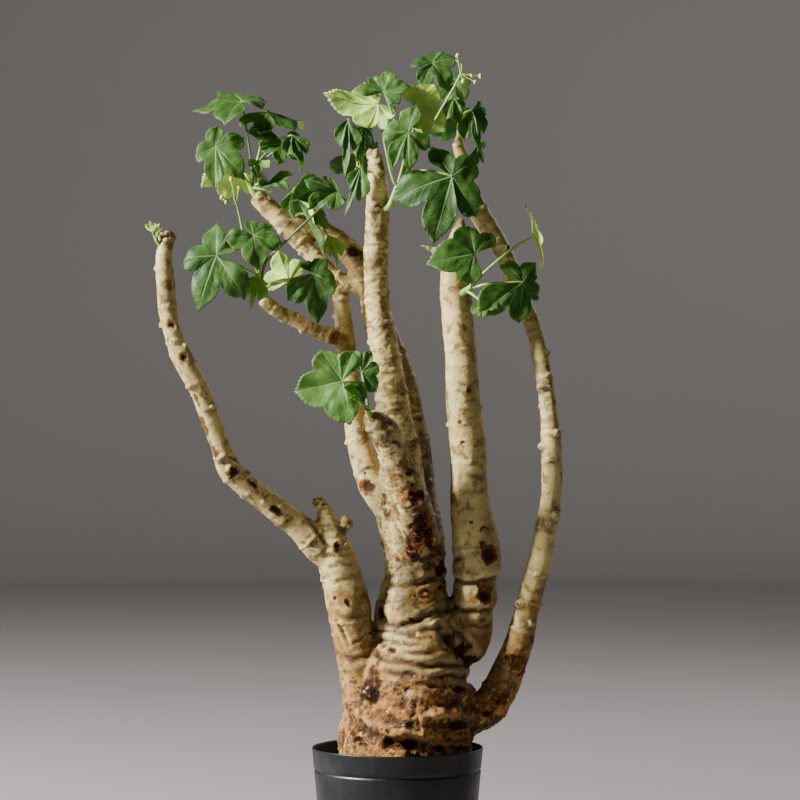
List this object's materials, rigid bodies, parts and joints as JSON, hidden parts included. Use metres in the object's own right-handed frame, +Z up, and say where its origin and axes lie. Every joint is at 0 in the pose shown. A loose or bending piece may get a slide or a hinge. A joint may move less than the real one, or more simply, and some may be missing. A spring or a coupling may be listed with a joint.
{
  "type": "potted caudex jatropha",
  "caption": "Potted caudex plant: a swollen corky base and long bare woody stems with loose clusters of lobed green leaves at their tips, standing in a tapered black plastic pot.",
  "frame": {"origin": "centre of the pot's flat underside", "axes": "+Z up along the pot's axis, -Y towards the side that the stems fan across, +X to the right seen from that side"},
  "size_m": [0.2876, 0.1554, 0.6117],
  "materials": {
    "pot_plastic": "satin black moulded plastic",
    "potting_soil": "dark crumbly potting soil",
    "bark": "pale waxy bark on the stems, rough brown cork on the base",
    "leaf": "glossy green leaf with pale veins and a lighter underside"
  },
  "bodies": {
    "root": {"pot": "pot_plastic", "soil": "potting_soil", "woody_plant": "bark", "front_shoot": "leaf", "right_shoot": "leaf", "top_shoot": "leaf", "crown_back_shoot": "leaf", "right_tip_shoot": "leaf", "upper_left_shoot": "leaf", "inner_left_shoot": "leaf", "lower_left_shoot": "leaf", "left_bud": "leaf"}
  },
  "joints": []
}
